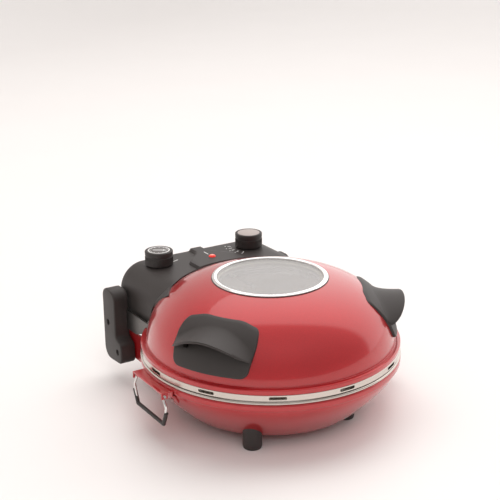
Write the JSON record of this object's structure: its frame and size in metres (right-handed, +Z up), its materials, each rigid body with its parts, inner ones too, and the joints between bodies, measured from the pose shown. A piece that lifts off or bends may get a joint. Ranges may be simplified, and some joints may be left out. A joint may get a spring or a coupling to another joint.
{
  "type": "countertop pizza oven",
  "caption": "Round clamshell countertop pizza oven: hinged domed lid with window, brim handles and rear control housing, stone-bedded base on feet, wire carrying bails.",
  "frame": {"origin": "on the surface the oven stands on, under the middle of its overall box", "axes": "+Z up, the front faces -Y, the hinge and controls are at +Y, +X is to the right seen from the front"},
  "size_m": [0.376, 0.3844, 0.1846],
  "materials": {
    "red_enamel": "glossy",
    "bright_steel": "polished",
    "satin_steel": "satin",
    "element_steel": "heat-darkened",
    "black_moulding": "satin",
    "ceramic": "matte",
    "glass": "tempered, slightly grey",
    "stone": "unglazed refractory",
    "red_lens": "clear red",
    "lead_sleeve": "braided",
    "dial_print": "printed"
  },
  "bodies": {
    "base": {"base_shell": "red_enamel", "base_reflector": "bright_steel", "stone_supports": "satin_steel", "lower_element": "element_steel", "lower_element_clips": "satin_steel", "lower_terminals": "ceramic", "lower_lead": "lead_sleeve", "base_rivets": "satin_steel", "left_bail_bracket": "red_enamel", "right_bail_bracket": "red_enamel", "left_hinge_bracket": "red_enamel", "right_hinge_bracket": "red_enamel", "hinge_bracket_screws": "satin_steel", "left_hinge_pin": "bright_steel", "right_hinge_pin": "bright_steel", "foot_front_left": "black_moulding", "foot_front_right": "black_moulding", "foot_rear_left": "black_moulding", "foot_rear_right": "black_moulding", "foot_screws": "satin_steel"},
    "stone": {"baking_stone": "stone"},
    "left_bail": {"left_bail_wire": "bright_steel", "left_bail_sleeve": "black_moulding"},
    "right_bail": {"right_bail_wire": "bright_steel", "right_bail_sleeve": "black_moulding"},
    "lid": {"lid_shell": "red_enamel", "lid_reflector": "bright_steel", "window_glass": "glass", "window_ring": "bright_steel", "window_gasket": "ceramic", "window_clamp_ring": "satin_steel", "window_clamp_screws": "satin_steel", "upper_element": "element_steel", "upper_element_clips": "satin_steel", "upper_terminals": "ceramic", "left_lid_handle": "black_moulding", "right_lid_handle": "black_moulding", "handle_screws": "satin_steel", "control_housing": "black_moulding", "housing_cover": "black_moulding", "housing_screws": "satin_steel", "left_arm_cover": "black_moulding", "right_arm_cover": "black_moulding", "arm_screws": "satin_steel", "left_hinge_strap": "bright_steel", "right_hinge_strap": "bright_steel", "pilot_lens": "red_lens", "pilot_lamp": "red_lens", "timer_unit": "satin_steel", "thermostat_unit": "ceramic", "thermostat_probe": "bright_steel", "terminal_block": "ceramic", "cord_inlet_gland": "black_moulding", "upper_lead": "lead_sleeve"},
    "timer_dial_knob": {"timer_knob": "black_moulding", "timer_dial": "dial_print", "timer_shaft": "bright_steel"},
    "heat_knob": {"thermostat_knob": "black_moulding", "thermostat_shaft": "bright_steel"}
  },
  "joints": [
    {"name": "lid_hinge", "type": "hinge", "parent": "base", "child": "lid", "pos_m": [0, 0.15025, 0.047], "axis": [-1, 0, 0], "range_deg": [0, 90]},
    {"name": "stone_lift", "type": "slide", "parent": "base", "child": "stone", "axis": [0, 0, 1], "range_m": [0, 0.008]},
    {"name": "left_bail_swing", "type": "hinge", "parent": "base", "child": "left_bail", "pos_m": [-0.184, -0.01675, 0.0715], "axis": [0, 1, 0], "range_deg": [-15, 100]},
    {"name": "right_bail_swing", "type": "hinge", "parent": "base", "child": "right_bail", "pos_m": [0.184, -0.01675, 0.0715], "axis": [0, -1, 0], "range_deg": [-15, 100]},
    {"name": "timer_turn", "type": "hinge", "parent": "lid", "child": "timer_dial_knob", "pos_m": [-0.075, 0.15725, 0.175], "axis": [0, 0, -1], "range_deg": [0, 300]},
    {"name": "thermostat_turn", "type": "hinge", "parent": "lid", "child": "heat_knob", "pos_m": [0.075, 0.15725, 0.175], "axis": [0, 0, -1], "range_deg": [0, 270]}
  ]
}
